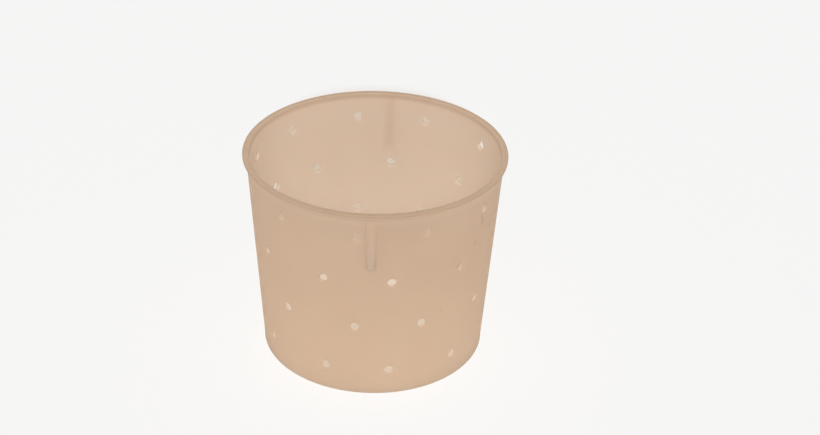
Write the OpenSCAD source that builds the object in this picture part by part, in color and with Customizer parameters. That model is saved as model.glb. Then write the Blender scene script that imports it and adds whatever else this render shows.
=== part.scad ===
// Cheese mould: a tapered drainer cup with a rounded rim, staggered rows of drain
// holes and two outside lugs that keep stacked moulds from jamming. Millimetres,
// +Z up, origin at the centre of the foot, front at -Y. Azimuths turn from the
// front towards +X.

/* [Cup] */
// Height from the table to the top of the rim
cup_h = 86; // [80:0.2:96]
// Outer diameter of the wall where it meets the rim
top_d = 102; // [98:0.2:112]
// Outer diameter of the wall carried down to the table
foot_d = 90; // [84:0.2:92]
// Thickness of the wall
wall_t = 1.2; // [1:0.1:2]

/* [Rim] */
// How far the rim stands out from the wall
rim_out = 1.5; // [1.2:0.1:3]
// Height of the rim
rim_h = 1.6; // [1.4:0.1:3]

/* [Base] */
// Thickness of the floor
floor_t = 1.6; // [1.2:0.1:2.4]
// Height of the foot ring that lifts the floor off the table
foot_h = 2; // [1.6:0.1:3]
// Width of the foot ring
foot_w = 2.4; // [2:0.1:3]
// Distance between the rings of holes in the floor
floor_pitch = 9.5; // [8:0.1:9.6]

/* [Drain holes] */
// Diameter of a drain hole
hole_d = 3.6; // [2:0.1:4]
// Height of the lowest row of holes
row_z = 11.9; // [9:0.1:13]
// Distance between rows
row_pitch = 21.3; // [18:0.1:21.4]

/* [Stacking lugs] */
// Length of a lug below the rim
lug_l = 23.4; // [18:0.2:26]
// Width of a lug
lug_w = 3.8; // [3:0.1:5]
// How far a lug stands out from the wall at the rim
lug_proud = 0.2; // [0.1:0.05:0.6]

/* [Hidden] */
$fn = 96;
small = 32;
smooth = 360;

plastic = [0.82, 0.71, 0.61];
wall_top = cup_h - rim_h;
top_r = top_d / 2;
foot_r = foot_d / 2;
taper = (top_r - foot_r) / wall_top;

// Azimuths of the drain holes, one list per row from the lowest row up
rows = [[-61.3, -23.7, 8.3, 43.8, 74, 103, 133, 172, 211, 239, 269],
        [-45, -8.6, 23.7, 58.5, 90, 119, 155, 189.3, 225, 255, 285],
        [-58.2, -23.5, 8.3, 42.7, 74, 103, 132.4, 172.2, 211, 239, 270],
        [-44, -7.3, 23.4, 57, 89, 119, 155, 188.8, 225, 256, 286]];

// The floor has one hole in the middle and this many rings round it. Ring n has
// n times first_ring holes and is turned by its share of their spacing.
floor_rings = 4;
first_ring = 6;
ring_turn = [0.8, 0.5, 0, 0.35];

lug_front_a = -1.3;
lug_back_a = 173;

lip_round = 0.5;
foot_round = 0.8;

// Outer and inner radius of the wall at height z
function outer_r(z) = foot_r + taper * z;
function inner_r(z) = outer_r(z) - wall_t;

// A frustum that follows the wall from z0 to z1, its radius changed by grow
module wall_cone(z0, z1, grow = 0) {
    translate([0, 0, z0])
        cylinder(h = z1 - z0, r1 = outer_r(z0) + grow, r2 = outer_r(z1) + grow);
}

// One radial drain hole at azimuth a and height z
module side_hole(a, z) {
    reach = 4 * wall_t;
    rotate([0, 0, a - 90])
        translate([outer_r(z) - reach / 2, 0, z])
            rotate([0, 90, 0])
                cylinder(h = reach, d = hole_d, center = true, $fn = small);
}

module side_wall() {
    past = 1;
    color(plastic)
        difference() {
            wall_cone(foot_h, wall_top);
            wall_cone(foot_h - past, wall_top + past, -wall_t);
            for (row = [0:len(rows) - 1])
                for (a = rows[row])
                    side_hole(a, row_z + row * row_pitch);
        }
}

// Flat top and underside, a full-round outer edge and a rounded inner lip
module rim() {
    edge = rim_h / 2;
    in_r = inner_r(wall_top);
    edge_r = top_r + rim_out - edge;
    lip_r = in_r + lip_round;
    color(plastic)
        translate([0, 0, wall_top])
            rotate_extrude()
                union() {
                    translate([in_r, 0])
                        square([edge_r - in_r, rim_h - lip_round]);
                    translate([lip_r, 0])
                        square([edge_r - lip_r, rim_h]);
                    translate([lip_r, rim_h - lip_round])
                        circle(lip_round, $fn = small);
                    translate([edge_r, edge])
                        circle(edge, $fn = small);
                }
}

module base_plate() {
    past = 1;
    color(plastic)
        difference() {
            wall_cone(foot_h, foot_h + floor_t, -wall_t);
            translate([0, 0, foot_h - past])
                cylinder(h = floor_t + 2 * past, d = hole_d, $fn = small);
            for (ring = [1:floor_rings])
                for (k = [1:first_ring * ring])
                    rotate([0, 0, 360 * (k + ring_turn[ring - 1]) / (first_ring * ring)])
                        translate([ring * floor_pitch, 0, foot_h - past])
                            cylinder(h = floor_t + 2 * past, d = hole_d, $fn = small);
        }
}

// A ring under the wall and the edge of the floor, rounded where it meets the table
module foot_ring() {
    out_r = outer_r(foot_h);
    in_r = out_r - foot_w;
    color(plastic)
        rotate_extrude()
            union() {
                translate([in_r, 0])
                    square([foot_w - foot_round, foot_h]);
                translate([in_r, foot_round])
                    square([foot_w, foot_h - foot_round]);
                translate([out_r - foot_round, foot_round])
                    circle(foot_round, $fn = small);
            }
}

// A round bar against the outside of the wall, upright, with a flat lower end
module stacking_lug(a) {
    r = lug_w / 2;
    color(plastic)
        rotate([0, 0, a - 90])
            difference() {
                translate([top_r + lug_proud - r, 0, wall_top - lug_l])
                    cylinder(h = lug_l, r = r, $fn = small);
                wall_cone(0, cup_h, $fn = smooth);
            }
}

side_wall();
rim();
base_plate();
foot_ring();
stacking_lug(lug_front_a);  // stacking_lug_front
stacking_lug(lug_back_a);  // stacking_lug_back
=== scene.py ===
import math

import bmesh
import bpy
from mathutils import Matrix, Vector
from mathutils.geometry import delaunay_2d_cdt


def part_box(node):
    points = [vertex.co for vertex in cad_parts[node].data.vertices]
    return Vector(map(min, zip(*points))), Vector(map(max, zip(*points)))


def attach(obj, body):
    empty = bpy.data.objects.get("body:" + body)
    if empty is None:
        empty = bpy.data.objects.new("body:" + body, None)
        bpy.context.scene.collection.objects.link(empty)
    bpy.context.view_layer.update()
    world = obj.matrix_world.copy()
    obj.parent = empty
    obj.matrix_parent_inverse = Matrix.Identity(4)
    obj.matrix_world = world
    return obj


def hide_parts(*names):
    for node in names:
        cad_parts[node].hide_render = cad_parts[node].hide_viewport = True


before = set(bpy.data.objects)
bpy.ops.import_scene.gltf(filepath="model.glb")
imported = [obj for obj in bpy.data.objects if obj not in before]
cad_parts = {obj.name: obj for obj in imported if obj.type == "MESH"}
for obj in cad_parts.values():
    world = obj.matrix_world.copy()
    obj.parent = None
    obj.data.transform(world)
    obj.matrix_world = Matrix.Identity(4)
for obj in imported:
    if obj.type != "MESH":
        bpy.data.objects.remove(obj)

MM = 0.001
scene = bpy.context.scene
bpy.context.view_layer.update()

# ---------------------------------------------------------------- sizes
rim_lo, rim_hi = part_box("rim")
wall_lo, wall_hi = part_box("side_wall")
foot_lo, foot_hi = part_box("foot_ring")

CUP_H = rim_hi[2]
WALL_TOP = rim_lo[2]
RIM_R = (rim_hi[0] - rim_lo[0]) / 2
TOP_R = (wall_hi[0] - wall_lo[0]) / 2
FOOT_TOP = foot_hi[2]
FOOT_R = (foot_hi[0] - foot_lo[0]) / 2
PLATE_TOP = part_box("base_plate")[1][2]
LUG_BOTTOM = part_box("stacking_lug_front")[0][2]
TAPER = (TOP_R - FOOT_R) / (WALL_TOP - FOOT_TOP)

WALL_T = 1.2 * MM
FOOT_W = 2.4 * MM
FOOT_ROUND = 0.8 * MM
FOOT_EDGE = 0.2 * MM
FLOOR_COVE = 1.2 * MM
LIP_ROUND = 0.5 * MM
RIM_FILLET = 0.6 * MM
HOLE_R = 1.8 * MM
HOLE_EDGE = 0.22 * MM
ROW_Z = 11.9 * MM
ROW_PITCH = 21.3 * MM
LUG_R = 1.9 * MM
LUG_PROUD = 0.2 * MM
LUG_END_ROUND = 1.2 * MM
LUG_FRONT_A = -1.3
LUG_BACK_A = 173
FLOOR_PITCH = 9.5 * MM

# Azimuths of the drain holes in the wall, one list per row from the lowest up
ROWS = [[-61.3, -23.7, 8.3, 43.8, 74, 103, 133, 172, 211, 239, 269],
        [-45, -8.6, 23.7, 58.5, 90, 119, 155, 189.3, 225, 255, 285],
        [-58.2, -23.5, 8.3, 42.7, 74, 103, 132.4, 172.2, 211, 239, 270],
        [-44, -7.3, 23.4, 57, 89, 119, 155, 188.8, 225, 256, 286]]
# The floor's rings of holes, each turned by a share of its holes' spacing
RING_TURN = [0.8, 0.5, 0, 0.35]
FIRST_RING = 6


def outer_r(z):
    return FOOT_R + TAPER * (z - FOOT_TOP)


def inner_r(z):
    return outer_r(z) - WALL_T


def polar(azimuth, radius, z):
    a = math.radians(azimuth)
    return Vector((radius * math.sin(a), -radius * math.cos(a), z))


# ---------------------------------------------------------------- mesh helpers
TURN_STEPS = 224


def link(thing):
    scene.collection.objects.link(thing)
    return thing


def finish_mesh(bm, name):
    """Turns a closed bmesh into a smooth object in the scene."""
    bmesh.ops.remove_doubles(bm, verts=bm.verts, dist=1e-7)
    bmesh.ops.recalc_face_normals(bm, faces=bm.faces)
    mesh = bpy.data.meshes.new(name)
    bm.to_mesh(mesh)
    bm.free()
    mesh.shade_smooth()
    return link(bpy.data.objects.new(name, mesh))


def quads(bm, rows):
    """Faces between neighbouring closed rows of vertices."""
    for a, b in zip(rows, rows[1:]):
        n = len(a)
        for i in range(n):
            j = (i + 1) % n
            bm.faces.new((a[i], a[j], b[j], b[i]))


def zipper(bm, low, high):
    """Triangles between two closed rings, each a list of (azimuth, vertex)."""
    i = j = 0
    n, m = len(low), len(high)
    while i < n or j < m:
        next_low = low[i + 1][0] if i + 1 < n else 360.0
        next_high = high[j + 1][0] if j + 1 < m else 360.0
        a, b = low[i % n][1], high[j % m][1]
        if j >= m or (i < n and next_low <= next_high):
            bm.faces.new((a, low[(i + 1) % n][1], b))
            i += 1
        else:
            bm.faces.new((a, high[(j + 1) % m][1], b))
            j += 1


def ring_of(bm, radius, z):
    """A closed ring of (azimuth, vertex) at one radius and height."""
    azimuths = [360.0 * i / TURN_STEPS for i in range(TURN_STEPS)]
    return [(a, bm.verts.new(polar(a, radius, z))) for a in azimuths]


def arc(cx, cz, r, a0, a1, steps):
    """Points of a profile arc, from angle a0 to a1 in degrees."""
    turns = [math.radians(a0 + (a1 - a0) * k / steps) for k in range(steps + 1)]
    return [(cx + r * math.cos(a), cz + r * math.sin(a)) for a in turns]


def hole_edge(steps=5):
    """Pairs of radius and depth down the rounded edge of a drain hole."""
    bends = [math.pi / 2 * i / steps for i in range(steps + 1)]
    return [(HOLE_R + HOLE_EDGE * (1 - math.sin(b)), HOLE_EDGE * (1 - math.cos(b)))
            for b in bends]


def join(bm, profile, ends):
    """Revolves a profile of (radius, z) points between the wall's two end rings."""
    rings = [ring_of(bm, r, z) for r, z in profile]
    quads(bm, [[v for _, v in ring] for ring in rings])
    zipper(bm, rings[0], ends["outer"])
    zipper(bm, rings[-1], ends["inner"])


# ---------------------------------------------------------------- wall with drain holes
# Round each hole the wall has a square cell, CELL either side of its axis and
# CELL_N faces across; between cells a face spans at most GAP_STEP degrees
CELL = 4.0 * MM
CELL_N = 10
GAP_STEP = 1.6
HOLE_GUARD = HOLE_R + HOLE_EDGE + 0.1 * MM


def cell_loop():
    """Points round a cell's edge, from -1 to 1, from its lower left corner."""
    steps = [-1 + 2.0 * k / CELL_N for k in range(CELL_N)]
    return ([(t, -1) for t in steps] + [(1, t) for t in steps]
            + [(-t, 1) for t in steps] + [(-1, -t) for t in steps])


def hole_point(azimuth, z, s, t, side, depth):
    """A point at offset (s, t) from a hole's axis, depth into the wall's material."""
    a = math.radians(azimuth)
    out = Vector((math.sin(a), -math.cos(a), 0))
    along = Vector((math.cos(a), math.sin(a), 0))
    if side == "outer":
        reach = math.sqrt(outer_r(z + t) ** 2 - s * s) - depth
    else:
        reach = math.sqrt(inner_r(z + t) ** 2 - s * s) + depth
    return out * reach + along * s + Vector((0, 0, z + t))


def band(bm, azimuths, z, side):
    """One row of holes on one face of the wall.

    Returns the band's lower and upper rings and the ring of vertices where each
    hole's rounded edge meets the bore."""
    radius = outer_r if side == "outer" else inner_r
    half = math.degrees(CELL / outer_r(z))
    holes = sorted(a % 360 for a in azimuths)
    columns = []
    edges = [0.0]
    for a in holes:
        edges += [a - half, a + half]
    edges.append(360.0)
    for k in range(0, len(edges), 2):
        a0, a1 = edges[k], edges[k + 1]
        n = max(1, math.ceil((a1 - a0) / GAP_STEP))
        columns.append([a0 + (a1 - a0) * i / n for i in range(n + 1)])
    levels = [z - CELL + 2 * CELL * j / CELL_N for j in range(CELL_N + 1)]

    grid = {}

    def vert(a, level):
        key = (round(a % 360, 6), level)
        if key not in grid:
            grid[key] = bm.verts.new(polar(a, radius(levels[level]), levels[level]))
        return grid[key]

    low = []
    for k, column in enumerate(columns):
        for j in range(CELL_N):
            for a0, a1 in zip(column, column[1:]):
                bm.faces.new((vert(a0, j), vert(a1, j),
                              vert(a1, j + 1), vert(a0, j + 1)))
        low += column[:-1]
        if k < len(holes):
            a0 = column[-1]
            step = 2 * half / CELL_N
            low += [a0 + step * i for i in range(CELL_N)]
    high = [(a, vert(a, CELL_N)) for a in low]
    low = [(a, vert(a, 0)) for a in low]

    loop = cell_loop()
    count = len(loop)
    turns = [math.radians(225 + 360 * i / count) for i in range(count)]
    bores = []
    for a in holes:
        border = []
        offsets = []
        for u, v in loop:
            level = round((v + 1) / 2 * CELL_N)
            border.append(vert(a + u * half, level))
            z_here = levels[level]
            across = radius(z_here) * math.sin(math.radians(u * half))
            offsets.append((across, z_here - z))
        rings = [border]
        # The square border turns into a circle just outside the hole
        for share in (0.33, 0.66, 1.0):
            ring = []
            for (s, t), turn in zip(offsets, turns):
                cs, ct = HOLE_GUARD * math.cos(turn), HOLE_GUARD * math.sin(turn)
                ring.append(bm.verts.new(hole_point(
                    a, z, s + (cs - s) * share, t + (ct - t) * share, side, 0)))
            rings.append(ring)
        for r, depth in hole_edge():
            rings.append([bm.verts.new(hole_point(
                a, z, r * math.cos(turn), r * math.sin(turn), side, depth))
                for turn in turns])
        quads(bm, rings)
        bores.append(rings[-1])
    return low, high, bores


def make_shell():
    """The side wall, the rim and the foot ring as one moulded skin with holes."""
    bm = bmesh.new()
    bands = {}
    lowest, highest = {}, {}
    for side in ("outer", "inner"):
        below = None
        for k, azimuths in enumerate(ROWS):
            z = ROW_Z + k * ROW_PITCH
            low, high, bands[side, k] = band(bm, azimuths, z, side)
            if k == 0:
                lowest[side] = low
            else:
                zipper(bm, below, low)
            below = high
        highest[side] = below
    for k in range(len(ROWS)):
        for a, b in zip(bands["outer", k], bands["inner", k]):
            quads(bm, [a, b])

    # Up the outside, round the flange of the rim and over its lip
    edge = (CUP_H - WALL_TOP) / 2
    in_r = inner_r(WALL_TOP)
    under = WALL_TOP - RIM_FILLET
    profile = [(outer_r(under), under)]
    profile += arc(TOP_R + RIM_FILLET, under, RIM_FILLET, 180, 90, 6)[1:]
    profile += arc(RIM_R - edge, CUP_H - edge, edge, -90, 90, 16)
    profile += arc(in_r + LIP_ROUND, CUP_H - LIP_ROUND, LIP_ROUND, 90, 180, 7)
    profile += [(in_r, WALL_TOP)]
    join(bm, profile, highest)

    # Down the outside, round the foot and up to the cove over the floor's edge
    foot_in = FOOT_R - FOOT_W
    start = 6.5 * MM
    below = PLATE_TOP - FOOT_EDGE
    seat = PLATE_TOP + FLOOR_COVE
    cove_r = inner_r(seat) - FLOOR_COVE
    profile = [(outer_r(start), start), (outer_r(FOOT_TOP), FOOT_TOP)]
    profile += arc(FOOT_R - FOOT_ROUND, FOOT_ROUND, FOOT_ROUND, 0, -90, 7)
    profile += arc(foot_in + FOOT_EDGE, FOOT_EDGE, FOOT_EDGE, 270, 180, 3)
    profile += [(foot_in, FOOT_TOP), (inner_r(FOOT_TOP), FOOT_TOP)]
    profile += [(inner_r(below), below), (cove_r, below), (cove_r, PLATE_TOP)]
    profile += arc(cove_r, seat, FLOOR_COVE, -90, 0, 6)[1:]
    join(bm, profile, lowest)
    return finish_mesh(bm, "cup_shell")


def make_floor():
    """The floor plate with rings of drain holes, its edge let into the wall."""
    bm = bmesh.new()
    centres = [(0.0, 0.0)]
    for ring, turn in enumerate(RING_TURN, 1):
        count = FIRST_RING * ring
        for k in range(count):
            a = 2 * math.pi * (k + turn) / count
            centres.append((ring * FLOOR_PITCH * math.cos(a),
                            ring * FLOOR_PITCH * math.sin(a)))

    sides = 32
    rim_sides = 144
    edge_r = inner_r(FOOT_TOP) + 0.2 * MM
    flat_r = edge_r - 0.5 * MM
    turns = [2 * math.pi * i / sides for i in range(sides)]
    rim_turns = [2 * math.pi * i / rim_sides for i in range(rim_sides)]

    # The flat between the holes, triangulated in millimetres
    flat = [Vector((flat_r * math.cos(a), flat_r * math.sin(a))) / MM for a in rim_turns]
    edges = [(i, (i + 1) % rim_sides) for i in range(rim_sides)]
    for x, y in centres:
        first = len(flat)
        flat += [Vector((x + HOLE_GUARD * math.cos(a), y + HOLE_GUARD * math.sin(a))) / MM
                 for a in turns]
        edges += [(first + i, first + (i + 1) % sides) for i in range(sides)]
    cut = delaunay_2d_cdt(flat, edges, [], 0, 1e-4)
    points, triangles, origins = cut[0], cut[2], cut[3]

    def in_hole(tri):
        mid = sum((points[i] for i in tri), Vector((0, 0))) / 3 * MM
        return any((mid - Vector(c)).length < HOLE_GUARD * 0.99 for c in centres)

    faces = [tri for tri in triangles if not in_hole(tri)]
    levels = []
    for z, inward in ((PLATE_TOP, -1), (FOOT_TOP, 1)):
        verts = [bm.verts.new((p.x * MM, p.y * MM, z)) for p in points]
        at = {i: v for v, origin in zip(verts, origins) for i in origin}
        for tri in faces:
            bm.faces.new([verts[i] for i in tri])
        bores = []
        for k, (x, y) in enumerate(centres):
            first = rim_sides + k * sides
            rows = [[at[first + i] for i in range(sides)]]
            for r, depth in hole_edge():
                rows.append([bm.verts.new((x + r * math.cos(a), y + r * math.sin(a),
                                           z + inward * depth)) for a in turns])
            quads(bm, rows)
            bores.append(rows[-1])
        edge = [bm.verts.new((edge_r * math.cos(a), edge_r * math.sin(a), z))
                for a in rim_turns]
        quads(bm, [[at[i] for i in range(rim_sides)], edge])
        levels.append([edge] + bores)
    for above, below in zip(*levels):
        quads(bm, [above, below])
    return finish_mesh(bm, "cup_floor")


def make_lug(azimuth, name):
    """An upright bar blended into the wall, with a rounded lower end."""
    bm = bmesh.new()
    steps = 32
    end_steps, bar_steps = 8, 24
    skin, sink = 0.03 * MM, 0.15 * MM
    a = math.radians(azimuth)
    out = Vector((math.sin(a), -math.cos(a), 0))
    along = Vector((math.cos(a), math.sin(a), 0))
    top = WALL_TOP + 0.2 * MM
    levels = [LUG_BOTTOM + LUG_END_ROUND * (1 - math.cos(math.pi / 2 * k / end_steps))
              for k in range(end_steps + 1)]
    bar = levels[-1]
    levels += [bar + (top - bar) * k / bar_steps for k in range(1, bar_steps + 1)]
    rows = []
    for z in levels:
        rise = min(1.0, (z - LUG_BOTTOM) / LUG_END_ROUND)
        proud = (TOP_R + LUG_PROUD - outer_r(z)) * math.sqrt(1 - (1 - rise) ** 2)
        front, rear = [], []
        for i in range(steps + 1):
            u = 2 * i / steps - 1
            side = LUG_R * u
            lift = proud * (1 - u * u) ** 1.5 - skin
            for row, extra in ((front, lift), (rear, -sink)):
                reach = math.sqrt((outer_r(z) + extra) ** 2 - side * side)
                row.append(bm.verts.new(out * reach + along * side + Vector((0, 0, z))))
        rows.append(front + rear[::-1])
    quads(bm, rows)
    bm.faces.new(rows[0])
    bm.faces.new(rows[-1])
    return finish_mesh(bm, name)


cup_shell = make_shell()
cup_floor = make_floor()
lug_front = make_lug(LUG_FRONT_A, "lug_front")
lug_back = make_lug(LUG_BACK_A, "lug_back")

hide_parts("side_wall", "rim", "foot_ring")
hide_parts("base_plate")
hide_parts("stacking_lug_front")
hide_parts("stacking_lug_back")
for piece in (cup_shell, cup_floor, lug_front, lug_back):
    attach(piece, "root")


# ---------------------------------------------------------------- material
def srgb(r, g, b):
    def lin(c):
        c /= 255
        return c / 12.92 if c <= 0.04045 else ((c + 0.055) / 1.055) ** 2.4
    return (lin(r), lin(g), lin(b), 1.0)


# Base, dark and pale tone of each region of the moulding, and the share of the
# light that comes through it
WALL_COLOURS = (srgb(214, 190, 166), srgb(206, 180, 155), srgb(218, 195, 172))
WALL_CLEAR = 0.58
# The floor plate is painted paler than the wall: painted light for a brightly lit floor
# inside the cup
FLOOR_COLOURS = (srgb(235, 227, 214), srgb(229, 220, 205), srgb(238, 231, 219))
FLOOR_CLEAR = 0.15
LUG_COLOURS = (srgb(218, 202, 184), srgb(211, 194, 175), srgb(221, 206, 189))
LUG_CLEAR = 0.7
# Painted light on a lug's thin top, against the painted shade at its thick lower end
LUG_TOP_PAINTED_LIGHT = srgb(237, 220, 201)

SPECK_TONE = srgb(120, 92, 68)
SCUFF_TONE = srgb(150, 122, 96)
SCUFF_AZIMUTH = 66
# Painted light inside the cup: a paler tone and its share low down and high up
INSIDE_PAINTED_LIGHT = srgb(249, 242, 232)
INSIDE_LIGHT_LOW, INSIDE_LIGHT_HIGH = 1.0, 0.45
# Painted shade on the rim: its tone, its lighter tone at the sides along x, and its share
# on the rim's top and on the wall inside
RIM_PAINTED_SHADE = srgb(194, 172, 149)
RIM_SIDE_PAINTED_SHADE = srgb(201, 181, 161)
RIM_TOP_SHARE = 0.85
RIM_INSIDE_SHARE = 0.5
# Painted light in the corner under the rim
UNDER_RIM_PAINTED_LIGHT = srgb(236, 216, 194)

# Light that has come through the plastic is paler than its surface
THROUGH_TONE = srgb(248, 238, 226)
THROUGH_SHARE = 0.6


class Nodes:
    """Short calls for building a node tree; a value is a number or a socket."""

    def __init__(self, material):
        self.tree = material.node_tree
        self.tree.nodes.clear()

    def set(self, socket, value):
        if isinstance(value, bpy.types.NodeSocket):
            self.tree.links.new(value, socket)
        else:
            socket.default_value = value

    def add(self, kind, inputs=None, **props):
        node = self.tree.nodes.new(kind)
        for key, value in props.items():
            setattr(node, key, value)
        for key, value in (inputs or {}).items():
            self.set(node.inputs[key], value)
        return node

    def math(self, operation, *values):
        inputs = dict(enumerate(values))
        return self.add("ShaderNodeMath", inputs, operation=operation).outputs[0]

    def times(self, a, b):
        return self.math("MULTIPLY", a, b)

    def ramp(self, fac, low, high, to_low=0.0, to_high=1.0):
        inputs = {"Value": fac, "From Min": low, "From Max": high,
                  "To Min": to_low, "To Max": to_high}
        return self.add("ShaderNodeMapRange", inputs).outputs["Result"]

    def tint(self, fac, colour, tone):
        inputs = {0: fac, 6: colour, 7: tone}
        return self.add("ShaderNodeMix", inputs, data_type="RGBA").outputs[2]

    def noise(self, place, scale, detail, roughness=0.5, stretch=(1, 1, 1)):
        moved = self.add("ShaderNodeMapping", {"Vector": place, "Scale": stretch})
        inputs = {"Vector": moved.outputs[0], "Scale": scale, "Detail": detail,
                  "Roughness": roughness}
        return self.add("ShaderNodeTexNoise", inputs).outputs["Fac"]


def polypropylene(name, colours, clear, region):
    """Matt translucent moulded plastic: mottled, finely textured, lightly soiled, with
    painted light and painted shade by region.

    region is wall, floor or lug."""
    material = bpy.data.materials.new(name)
    material.use_nodes = True
    n = Nodes(material)
    base, dark, pale = colours
    place = n.add("ShaderNodeTexCoord").outputs["Object"]
    x, y, height = n.add("ShaderNodeSeparateXYZ", {"Vector": place}).outputs
    radius = n.math("SQRT", n.math("ADD", n.times(x, x), n.times(y, y)))

    cloud = n.noise(place, 28, 3, 0.55)
    flow = n.noise(place, 60, 2, stretch=(1, 1, 0.16))
    grain = n.noise(place, 1500, 2, 0.6)
    fine = n.noise(place, 4200, 2)

    colour = n.tint(n.ramp(cloud, 0.35, 0.68), base, pale)
    colour = n.tint(n.ramp(flow, 0.5, 0.75, to_high=0.15), colour, dark)
    colour = n.tint(n.ramp(grain, 0.45, 0.8, to_high=0.35), colour, dark)

    # Sparse dark specks in the plastic
    cells = n.add("ShaderNodeTexVoronoi", {"Vector": place, "Scale": 190.0}).outputs
    pick = n.add("ShaderNodeSeparateColor", {"Color": cells["Color"]}).outputs[0]
    speck = n.times(n.ramp(cells["Distance"], 0.05, 0.085, 1.0, 0.0),
                    n.math("GREATER_THAN", pick, 0.93))
    colour = n.tint(n.times(speck, 0.45), colour, SPECK_TONE)

    # Painted shade: a lug is painted darker at its thick lower end and paler up towards its
    # thin top
    if region == "lug":
        up = n.ramp(height, LUG_BOTTOM + 2 * MM, WALL_TOP - 3 * MM)
        colour = n.tint(up, colour, LUG_TOP_PAINTED_LIGHT)

    # A patch of faint scuffs under the rim on the right
    towards = polar(SCUFF_AZIMUTH, 1, 0)
    facing = n.math("DIVIDE", n.math("ADD", n.times(x, towards.x), n.times(y, towards.y)),
                    radius)
    patch = n.times(n.ramp(facing, 0.93, 0.97),
                    n.times(n.ramp(height, 0.6 * CUP_H, 0.7 * CUP_H),
                            n.ramp(height, 0.9 * CUP_H, 0.96 * CUP_H, 1.0, 0.0)))
    streaks = n.noise(place, 420, 3, 0.6, (1, 1, 0.45))
    scuff = n.times(patch, n.ramp(streaks, 0.58, 0.68))
    colour = n.tint(n.times(scuff, 0.3), colour, SCUFF_TONE)

    # Painted light: the inside is painted paler than outside, most of all low down
    middle = n.math("ADD", n.times(height, TAPER), outer_r(0) - WALL_T / 2)
    outside = n.math("GREATER_THAN", radius, middle)
    inside = n.math("SUBTRACT", 1.0, outside)
    if region == "wall":
        inside_light = n.ramp(height, 0.0, 0.8 * CUP_H, INSIDE_LIGHT_LOW, INSIDE_LIGHT_HIGH)
        colour = n.tint(n.times(inside, inside_light), colour, INSIDE_PAINTED_LIGHT)
    lit = n.tint(THROUGH_SHARE, colour, THROUGH_TONE)

    # Painted shade: the rim, and the wall inside just under it, are painted darker for the
    # light the thick flange holds back, and less dark towards the rim's sides along x
    face = n.times(outside, n.ramp(height, WALL_TOP + 0.5 * MM, WALL_TOP + 0.9 * MM))
    over = n.times(inside, n.ramp(height, WALL_TOP - 1.4 * MM, WALL_TOP + 0.2 * MM,
                                  to_high=RIM_INSIDE_SHARE))
    rim_shade = n.math("MINIMUM", n.math("MAXIMUM", face, over),
                   n.ramp(height, CUP_H - 0.35 * MM, CUP_H - 0.1 * MM, 1.0, RIM_TOP_SHARE))
    rim_shade = n.math("MAXIMUM", rim_shade, n.ramp(height, CUP_H - 0.45 * MM, CUP_H - 0.15 * MM,
                                            to_high=RIM_TOP_SHARE))
    sideways = n.math("DIVIDE", n.math("ABSOLUTE", x), radius)
    tone = n.tint(n.ramp(sideways, 0.3, 1.0), RIM_PAINTED_SHADE, RIM_SIDE_PAINTED_SHADE)
    colour = n.tint(rim_shade, colour, tone)
    lit = n.tint(rim_shade, lit, tone)

    # Painted light: the outside just under the rim, where the rim's shadow falls, is
    # painted paler
    if region == "wall":
        corner = n.times(n.ramp(height, WALL_TOP - 4.5 * MM, WALL_TOP - 0.3 * MM),
                         n.ramp(height, WALL_TOP + 0.5 * MM, WALL_TOP + 0.9 * MM, 1.0, 0.0))
        corner = n.times(outside, corner)
        colour = n.tint(corner, colour, UNDER_RIM_PAINTED_LIGHT)
        lit = n.tint(corner, lit, UNDER_RIM_PAINTED_LIGHT)

    texture = n.math("ADD", n.times(grain, 0.6), n.times(fine, 0.4))
    normal = n.add("ShaderNodeBump", {"Height": texture, "Strength": 0.18,
                                      "Distance": 0.12 * MM}).outputs["Normal"]
    rough = n.ramp(n.math("ADD", cloud, n.times(grain, 0.5)), 0.5, 1.1, 0.46, 0.6)

    surface = n.add("ShaderNodeBsdfPrincipled", {
        "Base Color": colour,
        "Roughness": rough,
        "Normal": normal,
        "IOR": 1.49,
        "Specular IOR Level": 0.35,
    }).outputs[0]
    through = n.add("ShaderNodeBsdfTranslucent",
                    {"Color": lit, "Normal": normal}).outputs[0]
    both = n.add("ShaderNodeMixShader", {0: clear, 1: surface, 2: through}).outputs[0]
    n.add("ShaderNodeOutputMaterial", {"Surface": both})
    return material


wall_plastic = polypropylene("polypropylene", WALL_COLOURS, WALL_CLEAR, "wall")
floor_plastic = polypropylene("polypropylene_floor", FLOOR_COLOURS, FLOOR_CLEAR, "floor")
lug_plastic = polypropylene("polypropylene_thick", LUG_COLOURS, LUG_CLEAR, "lug")
for piece, plastic in ((cup_shell, wall_plastic), (cup_floor, floor_plastic),
                       (lug_front, lug_plastic), (lug_back, lug_plastic)):
    piece.data.materials.append(plastic)


# ---------------------------------------------------------------- ground
GROUND_SIZE = 8.0
GROUND_GREY = 0.36


def make_ground():
    """A plain pale ground, far wider than the view."""
    bm = bmesh.new()
    bm.faces.new([bm.verts.new((x * GROUND_SIZE, y * GROUND_SIZE, 0))
                  for x, y in ((-1, -1), (1, -1), (1, 1), (-1, 1))])
    mesh = bpy.data.meshes.new("ground")
    bm.to_mesh(mesh)
    bm.free()
    piece = link(bpy.data.objects.new("ground", mesh))
    material = bpy.data.materials.new("ground_matt")
    material.use_nodes = True
    shader = material.node_tree.nodes["Principled BSDF"]
    shader.inputs["Base Color"].default_value = (GROUND_GREY, GROUND_GREY, GROUND_GREY, 1)
    shader.inputs["Roughness"].default_value = 0.9
    shader.inputs["Specular IOR Level"].default_value = 0.1
    mesh.materials.append(material)
    return piece


ground = make_ground()


# ---------------------------------------------------------------- light
FRONT, LEFT, RIGHT, TOP = 1.98, 1.1, 1.04, 1.33
FLOOR_FRONT, FLOOR_FILL = 9.7, 5.05
WHITE, COOL, WARM = (1, 1, 1), (0.53, 0.768, 1.0), (1.0, 0.79, 0.58)
STUDIO = 0.19


def lit_group(name, pieces):
    """A collection that a lamp is limited to; it isn't linked to the scene."""
    group = bpy.data.collections.new(name)
    for piece in pieces:
        group.objects.link(piece)
    return group


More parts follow.
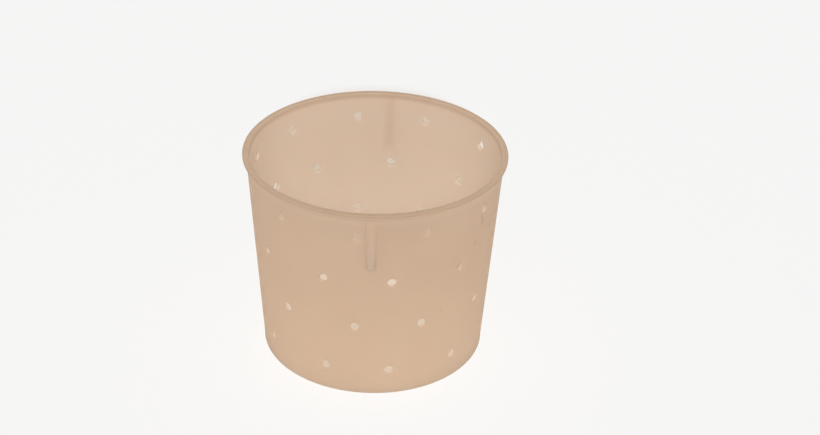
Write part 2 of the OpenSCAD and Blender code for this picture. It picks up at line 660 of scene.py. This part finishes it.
def soft_sun(name, group, azimuth, elevation, spread, power, colour=WHITE):
    """A very large distant softbox that lights one group: a sun with a wide angle."""
    light = bpy.data.lights.new(name, "SUN")
    light.angle = math.radians(spread)
    light.energy = power
    light.color = colour
    lamp = link(bpy.data.objects.new(name, light))
    e = math.radians(elevation)
    towards = polar(azimuth, math.cos(e), math.sin(e))
    lamp.rotation_euler = towards.to_track_quat("Z", "Y").to_euler()
    lamp.light_linking.receiver_collection = group
    return lamp


cup_group = lit_group("cup_group", (cup_shell, cup_floor, lug_front, lug_back))
ground_group = lit_group("ground_group", (ground,))
soft_sun("front_light", cup_group, 0, 39, 25, FRONT)
soft_sun("left_light", cup_group, -70, 35, 60, LEFT)
soft_sun("right_light", cup_group, 70, 35, 60, RIGHT)
soft_sun("top_light", cup_group, 0, 86, 20, TOP)
# The ground is neutral where both its lamps reach it. The cup's shadow falls behind
# it and is as warm as the light that translucent beige plastic lets through.
soft_sun("floor_front_light", ground_group, 0, 27, 4, FLOOR_FRONT, COOL)
floor_fill = soft_sun("floor_fill_light", ground_group, 0, 86, 20, FLOOR_FILL, WARM)
floor_fill.data.use_shadow = False

scene.world = bpy.data.worlds.new("studio")
scene.world.use_nodes = True
background = scene.world.node_tree.nodes["Background"]
background.inputs["Color"].default_value = (1.0, 1.0, 1.0, 1)
background.inputs["Strength"].default_value = STUDIO

# Light bounces often between the translucent walls
scene.cycles.max_bounces = 24
scene.cycles.diffuse_bounces = 12
scene.cycles.transmission_bounces = 24


# ---------------------------------------------------------------- camera
# A long lens looking down at the cup, which stands left of the picture's centre
LENS_MM = 74.63415
SENSOR_MM = 36.0
DISTANCE = 0.6934
ELEVATION = math.radians(31.42)
ROLL = math.radians(0.89)
YAW = math.radians(-1.20842)
PITCH = math.radians(0.83796)

camera_data = bpy.data.cameras.new("camera")
camera_data.sensor_width = SENSOR_MM
camera_data.lens = LENS_MM
camera = link(bpy.data.objects.new("camera", camera_data))
back = Vector((0, -math.cos(ELEVATION), math.sin(ELEVATION)))
right = Vector((1, 0, 0))
facing = Matrix((right, back.cross(right), back)).transposed().to_4x4()
camera.matrix_world = (Matrix.Translation(Vector((0, 0, CUP_H / 2)) + back * DISTANCE)
                       @ facing @ Matrix.Rotation(ROLL, 4, "Z")
                       @ Matrix.Rotation(PITCH, 4, "X") @ Matrix.Rotation(YAW, 4, "Y"))
scene.camera = camera
scene.view_settings.view_transform = "Standard"
scene.view_settings.look = "None"
